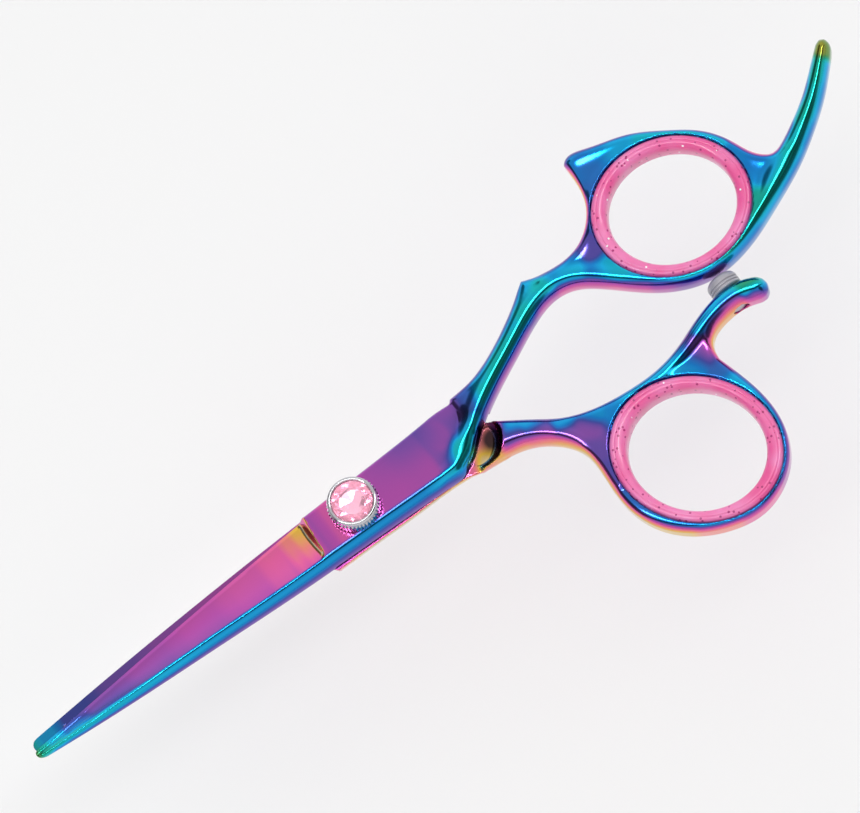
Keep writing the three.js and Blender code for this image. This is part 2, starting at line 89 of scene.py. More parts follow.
# ---------- curves and distances in the plane ----------
def spline(points, step=0.8):
    """A natural cubic spline through rows of numbers, resampled about every step along its x and y."""
    points = np.array(points, float)
    lengths = np.hypot(*np.diff(points[:, :2], axis=0).T)
    knots = np.concatenate([[0], np.cumsum(lengths)])
    count = len(points)
    system = np.eye(count)
    right = np.zeros_like(points)
    for i in range(1, count - 1):
        before, after = lengths[i - 1], lengths[i]
        system[i, i - 1:i + 2] = before / 6, (before + after) / 3, after / 6
        right[i] = (points[i + 1] - points[i]) / after - (points[i] - points[i - 1]) / before
    bend = np.linalg.solve(system, right)
    where = np.linspace(0, knots[-1], max(int(knots[-1] / step), 2) + 1)
    span = np.clip(np.searchsorted(knots, where, side="right") - 1, 0, count - 2)
    width = lengths[span][:, None]
    a = (knots[span + 1] - where)[:, None] / width
    b = 1 - a
    curve = a * points[span] + b * points[span + 1]
    return curve + ((a**3 - a) * bend[span] + (b**3 - b) * bend[span + 1]) * width**2 / 6


def joined(edges):
    """One closed outline from smooth edges that meet at corners."""
    return np.vstack([(spline(edge) if len(edge) > 2 else np.array(edge, float))[:-1] for edge in edges])


def to_segment(x, y, start, end):
    """Distance to a segment, and how far along it the nearest point is, from 0 to 1."""
    along = end[:2] - start[:2]
    t = np.clip(((x - start[0]) * along[0] + (y - start[1]) * along[1]) / max(along @ along, 1e-12), 0, 1)
    return np.hypot(x - start[0] - t * along[0], y - start[1] - t * along[1]), t


def outline_distance(x, y, outline):
    """Signed distance to a closed outline, negative inside."""
    nearest = np.full(np.broadcast(x, y).shape, 1e9)
    inside = np.zeros(nearest.shape, bool)
    for start, end in zip(outline, np.roll(outline, -1, axis=0)):
        nearest = np.minimum(nearest, to_segment(x, y, start, end)[0])
        if start[1] != end[1]:
            crosses = (start[1] > y) != (end[1] > y)
            at = start[0] + (y - start[1]) * (end[0] - start[0]) / (end[1] - start[1])
            inside ^= crosses & (x < at)
    return np.where(inside, -nearest, nearest)


def path_share(x, y, path):
    """Squared distance to a path as a share of its half width there, and that half width."""
    best = np.full(np.broadcast(x, y).shape, 1e9)
    half_width = np.ones(best.shape)
    for start, end in zip(path[:-1], path[1:]):
        distance, t = to_segment(x, y, start, end)
        width = start[2] + t * (end[2] - start[2])
        closer = distance - width < best
        best = np.where(closer, distance - width, best)
        half_width = np.where(closer, width, half_width)
    return ((best + half_width) / half_width) ** 2, half_width


def smooth_min(a, b, radius):
    mix = np.clip(0.5 + 0.5 * (b - a) / radius, 0, 1)
    return b + (a - b) * mix - radius * mix * (1 - mix)


def smooth_max(a, b, radius):
    return -smooth_min(-a, -b, radius)


def smooth_step(low, high, x):
    t = np.clip((x - low) / (high - low), 0, 1)
    return t * t * (3 - 2 * t)


class Plan:
    """Functions of x and y, sampled once on a fine grid and read back through a cubic B-spline."""

    def __init__(self, low, high, step=0.2):
        self.low, self.step = low, step
        self.x = np.arange(low[0], high[0], step)[:, None]
        self.y = np.arange(low[1], high[1], step)[None, :]
        self.layers = []

    def add(self, *values):
        self.layers.extend(np.broadcast_to(value, (self.x.size, self.y.size)) for value in values)

    def read(self, x, y):
        x, y = np.broadcast_arrays(x, y)
        table = np.stack(self.layers, -1)
        cells, weights = [], []
        for value, low, count in ((x, self.low[0], self.x.size), (y, self.low[1], self.y.size)):
            at = np.clip((value - low) / self.step, 1, count - 3.001)
            cell = at.astype(int)
            f = at - cell
            cells.append(cell)
            weights.append([(1 - f)**3 / 6, (3 * f**3 - 6 * f**2 + 4) / 6,
                            (-3 * f**3 + 3 * f**2 + 3 * f + 1) / 6, f**3 / 6])
        total = 0
        for i in range(4):
            for j in range(4):
                weight = weights[0][i] * weights[1][j]
                total = total + weight[..., None] * table[cells[0] + i - 1, cells[1] + j - 1]
        return np.moveaxis(total, -1, 0)


# ---------- the shapes of solid things: fields that are negative inside ----------
def ridge_field(z, share, half_width, half_thickness):
    """A tube of elliptical section along a path."""
    return (np.sqrt(np.maximum(share, 0) + ((z - MIDDLE) / half_thickness) ** 2) - 1) * half_width


def ridge_height(ridge, narrow):
    """Half the height of a ridge, which is lower where the ridge is narrow."""
    width, height = narrow
    return np.interp(ridge[1], [width, WIDE_RIDGE], [height, SHANK_HALF])


def swollen(height, ridges):
    """A web's half thickness where it swells from one height to another along ridges, each given by a path's
    share and half width."""
    flat = 1
    for share, _ in ridges:
        flat = flat * (1 - np.exp(-np.maximum(share, 0) * SWELL_FADE))
    return height[0] + (height[1] - height[0]) * (1 - flat)


def web_field(z, edge, half_thickness, rounding):
    """A plate with a rounded edge, where edge is the signed distance to its outline."""
    side = edge + rounding
    face = np.abs(z - MIDDLE) - half_thickness + rounding
    outside = np.hypot(np.maximum(side, 0), np.maximum(face, 0))
    return outside + np.minimum(np.maximum(side, face), 0) - rounding


def ring_outline(name, offset, steps=160, stretch=0):
    """The oval of a ring, moved outward by offset, and with stretch by more at the ends of its long axis."""
    long, short, tilt = RINGS[name]
    low, high = cad_box(name + "_ring_insert")
    turn = np.linspace(0, 2 * math.pi, steps, endpoint=False)
    normal = np.stack([short * np.cos(turn), long * np.sin(turn)], 1)
    normal /= np.linalg.norm(normal, axis=1)[:, None]
    flat = np.stack([long * np.cos(turn), short * np.sin(turn)], 1)
    flat += normal * (offset * (1 + stretch * np.cos(2 * turn)))[:, None]
    angle = math.radians(tilt)
    turned = flat @ np.array([[math.cos(angle), math.sin(angle)], [-math.sin(angle), math.cos(angle)]])
    return turned + (low[:2] + high[:2]) / 2


def ring_rim(name):
    """The path of the metal rim round a ring's insert."""
    inner, outer = RIMS[name]
    path = ring_outline(name, (inner + outer) / 2)
    closed = np.vstack([path, path[:1]])
    return np.column_stack([closed, np.full(len(closed), (outer - inner) / 2)])


def without_disc(field, x, y, z, radius, low, high):
    """Takes a round room about the pivot axis out of a field."""
    room = np.maximum(np.hypot(x, y) - radius, np.maximum(low - z, z - high))
    return smooth_max(field, -room, 0.05)


def without_ring_room(field, z, edge):
    """Takes the finger opening and the insert's two seats out of a field."""
    beyond_lip = np.abs(z - MIDDLE) - (MIDDLE - LIP_DEPTH)
    field = smooth_max(field, LIP_OFFSET - edge, 0.1)
    return smooth_max(field, np.minimum(SEAT_OFFSET - edge, beyond_lip), 0.15)


# ---------- the ground blades ----------
FRONT_SPINE = spline([
    [-61, -1.15], [-50, -2.3], [-30, -3.85], [-10, -5.2], [0, -5.6], [8, -5.95], [16, -6.25],
])
FRONT_EDGE = spline([[-61, 1], [-50, 1.7], [-30, 3], [-16, 3.75], [-8.1, 4.12]])
FRONT_SIDE = spline([[-7.5, 4.28], [0, 4.35], [8, 4.42], [16, 4.6], [24, 5.2], [28, 5.6]])
FRONT_TIP = spline([
    [-61, 1], [-62.2, 0.9], [-62.9, 0.5], [-63, -0.1], [-62.75, -0.55], [-62.2, -0.9], [-61, -1.15],
], step=0.3)
FRONT_CORNER = spline([
    [16, -6.25], [16.7, -6.15], [18.2, -4.9], [20.4, -2.9], [23.3, -0.9], [26, 1], [29, 3.5],
])
FRONT_OUTLINE = np.vstack([
    FRONT_TIP[:-1], FRONT_SPINE[:-1], FRONT_CORNER, FRONT_SIDE[::-1], FRONT_EDGE[:0:-1],
])
REAR_SPINE = spline([
    [-61, 2.45], [-50, 3.1], [-30, 3.92], [-10, 4.33], [0, 4.4], [8, 4.6], [14, 4.8], [16, 4.75],
])
REAR_EDGE = spline([[-61, 0.1], [-50, -1.2], [-30, -3.2], [-16, -4.35], [-8.8, -4.95]])
REAR_SIDE = spline([[-7.9, -5.72], [0, -5.95], [8, -6.2], [16, -6.45], [20, -7.1], [24, -8.1]])
REAR_TIP = spline([
    [-61, 0.1], [-62.1, 0.3], [-62.5, 0.7], [-62.6, 1.3], [-62.4, 1.9], [-62, 2.25], [-61, 2.45],
], step=0.3)
REAR_CORNER = spline([[16, 4.75], [17.4, 4], [19.5, 2.4], [23, -0.3], [25.6, -2.4], [26, -5], [24, -8.1]])
REAR_OUTLINE = np.vstack([
    REAR_TIP[:-1], REAR_SPINE[:-1], REAR_CORNER, REAR_SIDE[-2::-1], REAR_EDGE[:0:-1],
])
SPINE_WIDTH = ([-63, -61.5, -50, -30, -8, 16], [0.5, 0.85, 1.35, 1.75, 2.0, 2.0])
BLADE_RISE = ([-63, -61.5, -50, -30, -9, -7], [0.95, 1.25, 1.65, 2.2, 2.72, 2.8])
HEEL_LINE = ([-4, -2, 1, 4.5], [-8.35, -8.15, -7.85, -7.3])
HEEL_SLOPE = 0.42
EDGE_HEIGHT = 0.45
EDGE_WIDTH = 0.6
KEEN = 0.2  # height of the cutting edge itself over the middle plane
FLUTE_DEPTH = 0.3
CREST_STEP = 0.15  # from the rounded spine down to the flute
CREST_SPREAD = 0.35  # how far the ground face reaches over the crest
CREST_ROUNDING = ([-60, -40], [0.3, 0.2])
EDGE_ROUNDING = 0.3  # of the body at the cutting edge
PLATE_ROUNDING = 0.85  # of the body at the plate's side
HEEL_ROUNDING = 1.4  # in plan
HEEL_FILLET = 0.45


def line_at(x, *lines):
    """y at x on lines that follow one another."""
    line = np.vstack(lines)
    return np.interp(x, line[:, 0], line[:, 1])


def blade_field(x, y, z, edge, side):
    """One ground blade and its pivot plate. side is 1 for the front half, whose spine is towards -Y."""
    spine, cutting = (FRONT_SPINE, FRONT_EDGE) if side > 0 else (REAR_SPINE, REAR_EDGE)
    plate_side = FRONT_SIDE if side > 0 else REAR_SIDE
    up = side * (z - MIDDLE)
    back = np.interp(x, *SPINE_WIDTH)
    rise = np.interp(x, *BLADE_RISE)
    along = side * (y - line_at(x, spine))
    width = side * (line_at(x, cutting, plate_side) - line_at(x, spine))
    near_spine = 1 - smooth_step(0.25, 0.55, along / width)
    narrow = EDGE_ROUNDING + (PLATE_ROUNDING - EDGE_ROUNDING) * smooth_step(-8.5, -7, x)
    edge_width = narrow + (back - narrow) * near_spine
    over = np.maximum(edge + edge_width, 0) / edge_width
    body = (np.sqrt(over**2 + (up / rise) ** 2) - 1) * edge_width
    bevel = np.minimum(EDGE_WIDTH, width / 4)
    t = np.clip((along - back) / (width - back - bevel), -0.2, 1)
    crest = rise - CREST_STEP
    flute = crest + (EDGE_HEIGHT - crest) * t - FLUTE_DEPTH * 4 * t * (1 - t)
    ground = np.minimum(flute, KEEN + (EDGE_HEIGHT - KEEN) * (width - along) / bevel)
    before_heel = np.interp(side * y, *HEEL_LINE) - (MIDDLE - up) * HEEL_SLOPE - x
    plan = smooth_min(before_heel, along - back + CREST_SPREAD, HEEL_ROUNDING)
    body = smooth_max(body, smooth_min(up - ground, plan, HEEL_FILLET), np.interp(x, *CREST_ROUNDING))
    return smooth_max(body, RIDE_GAP / 2 - up, 0.05)


def tooth_gaps(x, y):
    """Distance into the thinning slots and the notch in each tooth's tip, positive inside."""
    number = np.clip(np.round((x - TEETH["first"]) / TEETH["pitch"]), 0, TEETH["slots"] - 1)
    centre = TEETH["first"] + number * TEETH["pitch"]
    edge = line_at(centre, REAR_EDGE)
    root = edge + TEETH["depth"] * (line_at(centre, REAR_SPINE) - edge)
    half = TEETH["width"] / 2
    slot = half - np.hypot(x - centre, np.maximum(y - root + half, 0))
    tooth = centre + TEETH["pitch"] * np.where(x > centre, 0.5, -0.5)
    notch = line_at(tooth, REAR_EDGE) + TEETH["notch"] - y - NOTCH_SLOPE * np.abs(x - tooth)
    return np.maximum(slot, notch * 0.5)


# ---------- the forged handles ----------
FINGER_OUTLINE = joined([
    [[22, 5.05], [27, 5.5], [30, 6.2], [34, 7.9], [38, 10.25], [40.4, 12.05], [42.3, 13.35]],
    [[42.3, 13.35], [44.6, 12.45], [48, 11.8], [52.4, 12.2], [55.6, 14.1], [57.9, 17.2], [58.75, 20.8],
     [58.9, 24.2]],
    [[58.9, 24.2], [59.5, 24.7], [63.5, 24.1], [69.7, 21.9], [75, 18.5], [79.4, 14.8], [81.9, 10.8],
     [83.6, 6.9], [86.3, 4.75], [90.5, 6.2], [95.3, 9.0], [99.6, 12.5], [102.5, 14.95]],
    [[102.5, 14.95], [103.2, 14.6], [103.1, 13.5], [101.1, 11.2], [97.3, 7.8], [92.5, 4.3],
     [87.3, 1.1], [80, -2.0], [73.5, -4.1], [68, -4.65], [63.2, -3.75], [58.4, -1.0], [54.4, 2.7],
     [50.2, 6.7], [45.3, 8.2], [39.9, 6.95], [33.9, 4.4], [27.8, 1.3], [22, -1.9]],
    [[22, -1.9], [22, 5.05]],
])
FINGER_SHANK = spline([
    [14.5, -4.4, 1.5], [17, -3.95, 1.85], [20.5, -1.75, 1.9], [25, 1.65, 1.85], [30, 4.25, 1.85],
    [35, 6.55, 1.85], [40, 8.95, 1.85], [44.8, 9.95, 1.75], [49, 9.0, 1.7], [52.4, 6.55, 1.75],
    [55.8, 3.1, 1.45], [59, -0.1, 1.15], [62.3, -2.4, 0.9], [66, -3.85, 0.85], [70, -4.0, 0.85],
    [75, -2.8, 1.1], [80, -0.5, 1.5], [84, 1.6, 1.9], [88, 3.45, 1.95], [92.2, 5.75, 1.75],
    [96.4, 8.6, 1.6], [100, 11.7, 1.4], [102.1, 13.7, 1.15],
])
FIN_EDGE = spline([
    [45, 11.1, 0.7], [48, 10.9, 0.8], [51, 11.1, 0.9], [54.6, 12.7, 0.9], [57.4, 15.9, 0.8],
    [59, 19.5, 0.7], [59.7, 23.2, 0.6],
])
FIN_BACK = spline([
    [60, 23.6, 0.8], [64, 22.8, 1.0], [69, 20.8, 1.1], [74, 17.7, 1.1], [78.6, 13.3, 1.0],
    [81.2, 9.0, 1.0],
])
REST_ROOT = spline([[81.2, 9, 0.9], [82.8, 6.1, 0.9], [84.8, 4.3, 1.0], [87.5, 4.0, 1.1]])
THUMB_OUTLINE = joined([
    [[19.5, 2.2], [23.5, -0.6], [25.8, -2.3], [30, -5.4], [34, -8.3], [38.4, -10.2], [45.3, -11.5],
     [52.6, -11.7], [58, -10.3], [62, -8.9], [65.3, -8.15], [68, -8.2], [70, -8.75], [71.5, -9.6]],
    [[71.5, -9.6], [72.3, -10.8], [72, -12.1], [71.1, -12.75], [70.2, -12.65]],
    [[70.2, -12.65], [67.5, -11.8], [64.5, -11.75], [61.6, -12.4], [59.8, -13.9], [59.2, -16.3]],
    [[59.2, -16.3], [60.3, -20.7], [61.1, -26], [60.6, -31.4], [58.4, -35.8], [54.5, -38.9],
     [49.9, -40.2], [44.3, -39.2], [39.3, -36.5], [35.3, -32.1], [33.4, -26.3], [33.7, -20.5],
     [34.1, -16.9], [33.5, -13.5], [31.5, -11], [28.2, -8.75], [24, -7.6], [19.5, -7.0]],
    [[19.5, -7.0], [19.5, 2.2]],
])
THUMB_SHANK = spline([
    [19, -4.9, 2.2], [22, -5.1, 2.2], [25, -5.7, 2.0], [28, -7.0, 1.75], [31, -9.1, 1.6],
    [33.3, -11.9, 1.35], [34.7, -15.4, 1.05], [34.9, -19.6, 0.9], [34.8, -23, 0.8],
])
THUMB_TOP = spline([
    [46, -13.2, 0.8], [49, -13.0, 0.85], [52.5, -12.5, 0.95], [56, -11.7, 1.1], [59.3, -10.7, 1.35],
    [62.5, -9.95, 1.5], [66, -9.6, 1.5], [68.6, -9.95, 1.5], [70.5, -10.7, 1.5],
])
SHANK_HALF = 2.7
WIDE_RIDGE = 1.5  # half width from which a ridge has its full height
FINGER_NARROW = (0.6, 2.4)  # a narrow ridge's half width, and half its height
THUMB_NARROW = (0.85, 2.0)
WEB_HALF = (2.25, 2.5)  # half the webs' thickness, between the ridges and on them
WEB_ROUNDING = 1.5
SWELL_FADE = 0.6  # how fast the swelling fades across a ridge
# Roundings where the parts of a half flow into each other.
SHANK_BLEND = 1.1
ARM_BLEND = 1.2
FRONT_BLEND = 0.8
REAR_BLEND = 0.4


def lap_distance(name, x, y):
    """Distance in plan to the overlap of the halves, with the round scoop that ends it on one of them."""
    return np.minimum(x - LAP_END, np.hypot(x - LAP_END, y - SCOOP_Y[name]) - SCOOP)


def half_plan(name, low, high, handle, blade, paths):
    """The distances in plan that a half's field needs."""
    plan = Plan(low, high)
    for outline in (handle, ring_outline(name, 0), blade):
        plan.add(outline_distance(plan.x, plan.y, outline))
    for path in (*paths, ring_rim(name)):
        plan.add(*path_share(plan.x, plan.y, path))
    return plan


def finger_field(plan, x, y, z):
    """The finger half: ground blade, plate, shank, fin, ring and finger rest."""
    outline, ring, front, *ridges = plan.read(x, y)
    shank, edge, back, root, rim = zip(ridges[::2], ridges[1::2])
    half_thickness = swollen(WEB_HALF, (edge, back, root, rim))
    field = web_field(z, outline, half_thickness, WEB_ROUNDING)
    field = smooth_min(field, ridge_field(z, *shank, ridge_height(shank, FINGER_NARROW)), SHANK_BLEND)
    lap = lap_distance("finger", x, y)
    field = smooth_max(field, np.minimum(FRONT_RIDE - z, -lap), 0.15)
    blade = blade_field(x, y, z, front, 1)
    fade = FRONT_BLEND * smooth_step(17.5, 26, x)  # lets the shank take over from the plate
    field = smooth_min(field, blade + fade, FRONT_BLEND)
    field = without_disc(field, x, y, z, *BUSHING_ROOM)
    return without_ring_room(field, z, ring)


def thumb_field(plan, x, y, z):
    """The thumb half: toothed blade, plate, shank, ring and the arm that carries the bumper."""
    outline, ring, rear, *ridges = plan.read(x, y)
    shank, top, rim = zip(ridges[::2], ridges[1::2])
    half_thickness = swollen(WEB_HALF, (top, rim))
    field = web_field(z, outline, half_thickness, WEB_ROUNDING)
    field = smooth_min(field, ridge_field(z, *top, ridge_height(top, THUMB_NARROW)), ARM_BLEND)
    field = smooth_min(field, ridge_field(z, *shank, ridge_height(shank, THUMB_NARROW)), SHANK_BLEND)
    past_wall = np.maximum(lap_distance("thumb", x, y) + SCOOP_FILLET, 0)
    under_floor = np.maximum(REAR_RIDE + SCOOP_FILLET - z, 0)
    field = smooth_max(field, SCOOP_FILLET - np.hypot(past_wall, under_floor), 0.15)
    blade = blade_field(x, y, z, rear, -1)
    toothed = x < TEETH["first"] + TEETH["pitch"] * TEETH["slots"]
    blade = np.where(toothed, smooth_max(blade, tooth_gaps(x, y), 0.05), blade)
    fade = 0.35 * smooth_step(19, 26, x)
    field = smooth_min(field, blade + fade, REAR_BLEND)
    stud_hole = STUD_HOLE - np.hypot(x - STUD_AT, z - MIDDLE)
    field = smooth_max(field, np.where(y > ARM_START, stud_hole, -1e3), 0.1)
    for room in (SHAFT_ROOM, HEAD_ROOM, WASHER_ROOM):
        field = without_disc(field, x, y, z, *room)
    return without_ring_room(field, z, ring)


# ---------- from a field to a mesh ----------
LONGEST_STEP = 0.05  # that a point may take towards the surface


def slopes(field, points, step=0.01):
    """A field's value and slope at points."""
    base = field(*points.T)
    columns = []
    for axis in range(3):
        moved = points.copy()
        moved[:, axis] += step
        columns.append((field(*moved.T) - base) / step)
    return base, np.stack(columns, 1)


def cell_points(values):
    """A place inside each cell that the zero surface crosses, and the number of each such cell's vertex."""
    shape = np.array(values.shape) - 1
    total = np.zeros((*shape, 3), np.float32)
    count = np.zeros(shape, np.float32)
    for corner in np.ndindex(2, 2, 2):
        for axis in range(3):
            if corner[axis]:
                continue
            other = tuple(1 if k == axis else corner[k] for k in range(3))
            here = values[tuple(slice(corner[k], corner[k] + shape[k]) for k in range(3))]
            there = values[tuple(slice(other[k], other[k] + shape[k]) for k in range(3))]
            crossed = (here < 0) != (there < 0)
            t = here / np.where(crossed, here - there, 1)
            for k in range(3):
                total[..., k] += crossed * (corner[k] + (t if k == axis else 0))
            count += crossed
    active = count > 0
    index = np.full(shape, -1)
    index[active] = np.arange(active.sum())
    return np.argwhere(active) + total[active] / count[active][:, None], index


def cell_quads(values, index):
    """A quad round each grid edge that the zero surface crosses, facing outward."""
    inside = values < 0
    quads = []
    for axis in range(3):
        u, v = [(1, 2), (2, 0), (0, 1)][axis]
        here = [slice(1, -1)] * 3
        here[axis] = slice(0, -1)
        there = [slice(1, -1)] * 3
        there[axis] = slice(1, None)
        start, end = inside[tuple(here)], inside[tuple(there)]
        spots = np.argwhere(start != end) + np.where(np.arange(3) == axis, 0, 1)
        corners = []
        for du, dv in ((-1, -1), (0, -1), (0, 0), (-1, 0)):
            at = spots.copy()
            at[:, u] += du
            at[:, v] += dv
            corners.append(index[tuple(at.T)])
        quad = np.stack(corners, 1)
        quads.append(np.where(start[start != end][:, None], quad, quad[:, ::-1]))
    return np.vstack(quads)


def surface(field, x, y, z):
    """Points, quads and normals of a field's zero surface. y has a row of grid lines for each x, so that
    the grid follows the blade's edges."""
    values = field(x[:, None, None], y[:, :, None], z[None, None, :]).astype(np.float32)
    places, index = cell_points(values)
    quads = cell_quads(values, index)
    i, j = places[:, 0].astype(int), places[:, 1].astype(int)
    u, v = places[:, 0] - i, places[:, 1] - j
    near = (1 - u) * y[i, j] + u * y[i + 1, j]
    far = (1 - u) * y[i, j + 1] + u * y[i + 1, j + 1]
    points = np.stack([np.interp(places[:, 0], np.arange(x.size), x), (1 - v) * near + v * far,
                       np.interp(places[:, 2], np.arange(z.size), z)], 1)
    for _ in range(2):
        base, slope = slopes(field, points)
        step = base[:, None] * slope / np.maximum((slope**2).sum(1), 0.3)[:, None]
        length = np.linalg.norm(step, axis=1)[:, None]
        points = points - step * np.minimum(1, LONGEST_STEP / np.maximum(length, 1e-9))
    normals = slopes(field, points)[1]
    return points, quads, normals / np.maximum(np.linalg.norm(normals, axis=1)[:, None], 1e-9)


# ---------- making Blender objects ----------
def make_object(name, points, faces, smooth=True, sharp=None, normals=None):
    """A mesh object from millimetre points. Edges sharper than an angle can stay sharp."""
    mesh = bpy.data.meshes.new(name)
    mesh.from_pydata((np.asarray(points, float) * MM).tolist(), [], faces)
    mesh.polygons.foreach_set("use_smooth", [smooth] * len(mesh.polygons))
    if sharp is not None:
        mesh.set_sharp_from_angle(angle=math.radians(sharp))
    if normals is not None:
        mesh.normals_split_custom_set_from_vertices(normals.tolist())
    mesh.update()
    piece = bpy.data.objects.new(name, mesh)
    bpy.context.scene.collection.objects.link(piece)
    return piece


def swept(name, rows, sharp):
    """A closed mesh from rows of points: each row a closed section, and the last one next to the first."""
    rows = np.asarray(rows, float)
    count, size = rows.shape[:2]
    points = rows.reshape(-1, 3)
    faces = []
    for i in range(count):
        for j in range(size):
            a, b = i * size + j, i * size + (j + 1) % size
            c, d = a + size, b + size
            faces.append([a, b, d % len(points), c % len(points)])
    return make_object(name, points, faces, sharp=sharp)


CELL = 0.3
TOOTH_CELL = TEETH["pitch"] / 8
CELLS_TO_TIP = 36  # from the first slot
TEETH_GRID_END = -12  # x
GUIDE_REACH = 99  # beyond both sides of the half
# The grid's layers are finest where the halves meet.
LAYERS = np.concatenate([np.arange(-0.31, 2.1, 0.2), np.arange(2.09, 3.6, 0.1), np.arange(3.69, 6.1, 0.2)])


def add_half(name, field, y_range, x_end, side, steel, film):
    """A whole half of the shears as one mesh, with the film's thickness and the painted shade at each point.
    The grid's lines follow the blade's spine, crest and edge. side is 1 for the front half."""
    x = np.concatenate([np.arange(TEETH["first"] - CELLS_TO_TIP * TOOTH_CELL, TEETH_GRID_END, TOOTH_CELL),
                        np.arange(TEETH_GRID_END + 0.1, x_end, CELL)])

    def guides(at):
        at = min(max(at, BLADE_TIP), PLATE_END)
        back = np.interp(at, *SPINE_WIDTH)
        if side > 0:
            near, far = line_at(at, FRONT_SPINE), line_at(at, FRONT_EDGE, FRONT_SIDE)
            crest = near + back
        else:
            near, far = line_at(at, REAR_EDGE, REAR_SIDE), line_at(at, REAR_SPINE)
            crest = far - back
        return [near - GUIDE_REACH, near, crest, far, far + GUIDE_REACH]

    flat = np.arange(*y_range, CELL)
    y = np.stack([np.interp(flat, guides(PLATE_END), guides(at)) for at in x])
    points, quads, normals = surface(field, x, y, LAYERS)
    half = make_object(name, points, quads.tolist(), normals=normals)
    for label, values in zip(("film", "shade"), film(points, normals)):
        layer = half.data.attributes.new(label, "FLOAT", "POINT")
        layer.data.foreach_set("value", values.astype(np.float32))
    half.data.materials.append(steel)
    return half


def settle(piece, body, node):
    """Rides a piece on its body and hides the CAD node that it stands for."""
    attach(piece, body)
    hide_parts(node)


# ---------- the rubber, silver and crystal pieces ----------
# Section of a ring insert above its middle, as offset from the flange's edge and height: the wall, the face,
# the bead and the rim.
INSERT_SECTION = [
    (-2.4, 0.0), (-2.4, 0.6), (-2.36, 1.2), (-2.25, 1.7), (-2.05, 2.08), (-1.75, 2.33), (-1.4, 2.46),
    (-1.05, 2.52), (-0.92, 2.47), (-0.84, 2.41), (-0.76, 2.46), (-0.6, 2.47), (-0.35, 2.38),
    (-0.15, 2.2), (-0.03, 1.95), (0, 1.7), (0, 1.56), (-1.18, 1.5),
]
BORE_STRETCH = {"finger": 0.08, "thumb": 0.16}
BUMPER_FOOT = -8.05
BUMPER_BORE = (1.28, -6.3)  # radius, and y of its end
# Outline of the ribs, as y and radius: two ribs, a groove after each, and the edge of the dome.
BUMPER_RIBS = [
    (BUMPER_FOOT, 2.5), (-8.0, 2.6), (-7.72, 2.65), (-7.64, 2.6), (-7.59, 2.45), (-7.52, 2.45), (-7.47, 2.6),
    (-7.4, 2.65), (-7.22, 2.65), (-7.14, 2.6), (-7.09, 2.45), (-7.02, 2.45), (-6.97, 2.6), (-6.9, 2.65),
]
DOME_BASE = -6.8
DOME_POWER = 2.5
POLE = 0.02  # radius of the tiny hole that closes a turned solid on its axis
DIAL_RIDGES = 44
RIDGE_DEPTH = 0.28
RIDGE_BAND = 0.35  # how far in from the dial's rim points still move with the ridges
DIAL_SKIRT = (3.75, 7.2)  # inner radius, and height of its roof
DIAL_THREAD = (2.06, 7.9)  # radius, and height of its end
DIAL_DISH = (3.0, 8.12)  # radius, and height of its lowest point
CRYSTAL_TILT = 11.25  # degrees, of the facets about the axis
CRYSTAL_TABLE = 1.72
CRYSTAL_STAR = (2.52, 0.42)  # radius, and drop below the table
GIRDLE = (0.35, 0.12)  # height of its foot above the crystal's lowest CAD point, and its thickness
CRYSTAL_RING = (1.9, 8.5)  # radius and height of the middle ring of the back's facets
CRYSTAL_POINT = 8.24
BEZEL_WALL = 0.66
# The bezel's floor, as radius and height, just under the back of the crystal, and its underside.
BEZEL_FLOOR = [(1.95, 8.43), (POLE, 8.17), (POLE, 8.13)]
BEZEL_SEAT = 9.1  # height at which its wall meets the floor


def add_insert(name, silicone):
    steps = 192
    section = INSERT_SECTION + [(offset, -height) for offset, height in INSERT_SECTION[:0:-1]]
    rows = []
    for offset, height in section:
        ring = ring_outline(name, offset, steps, BORE_STRETCH[name] * smooth_step(-1, -2, offset))
        rows.append(np.column_stack([ring, np.full(steps, MIDDLE + height)]))
    insert = swept(f"{name}_insert_silicone", rows, sharp=50)
    insert.data.materials.append(silicone)
    return insert


def add_bumper(rubber):
    low, high = cad_box("bumper")
    radius = (high[0] - low[0]) / 2
    turn = np.linspace(0, math.pi / 2, 14)[1:-1]
    dome = [(DOME_BASE + (high[1] - DOME_BASE) * math.sin(t)**(2 / DOME_POWER),
             radius * math.cos(t)**(2 / DOME_POWER)) for t in turn]
    bore, bore_end = BUMPER_BORE
    profile = [(BUMPER_FOOT, bore), *BUMPER_RIBS, (DOME_BASE, radius), *dome, (high[1], POLE),
               (bore_end, POLE), (bore_end, bore)]
    around = np.linspace(0, 2 * math.pi, 64, endpoint=False)
    rows = [np.stack([STUD_AT + r * np.cos(around), np.full(64, y), MIDDLE - r * np.sin(around)], 1)
            for y, r in profile]
    bumper = swept("bumper_cap", rows, sharp=60)
    bumper.data.materials.append(rubber)
    return bumper


def lathe(name, profile, finish, sides=128, radius_at=None, sharp=35):
    """A ring or disc turned about the pivot axis, from a closed outline of radius and height that runs
    anticlockwise. radius_at can vary a radius round the turn."""
    turn = np.linspace(0, 2 * math.pi, sides, endpoint=False)
    rows = []
    for radius, height in profile:
        r = radius if radius_at is None else radius_at(radius, turn)
        rows.append(np.stack([r * np.cos(turn), r * np.sin(turn), np.full(sides, height)], 1))
    piece = swept(name, rows, sharp)
    piece.data.materials.append(finish)
    return piece


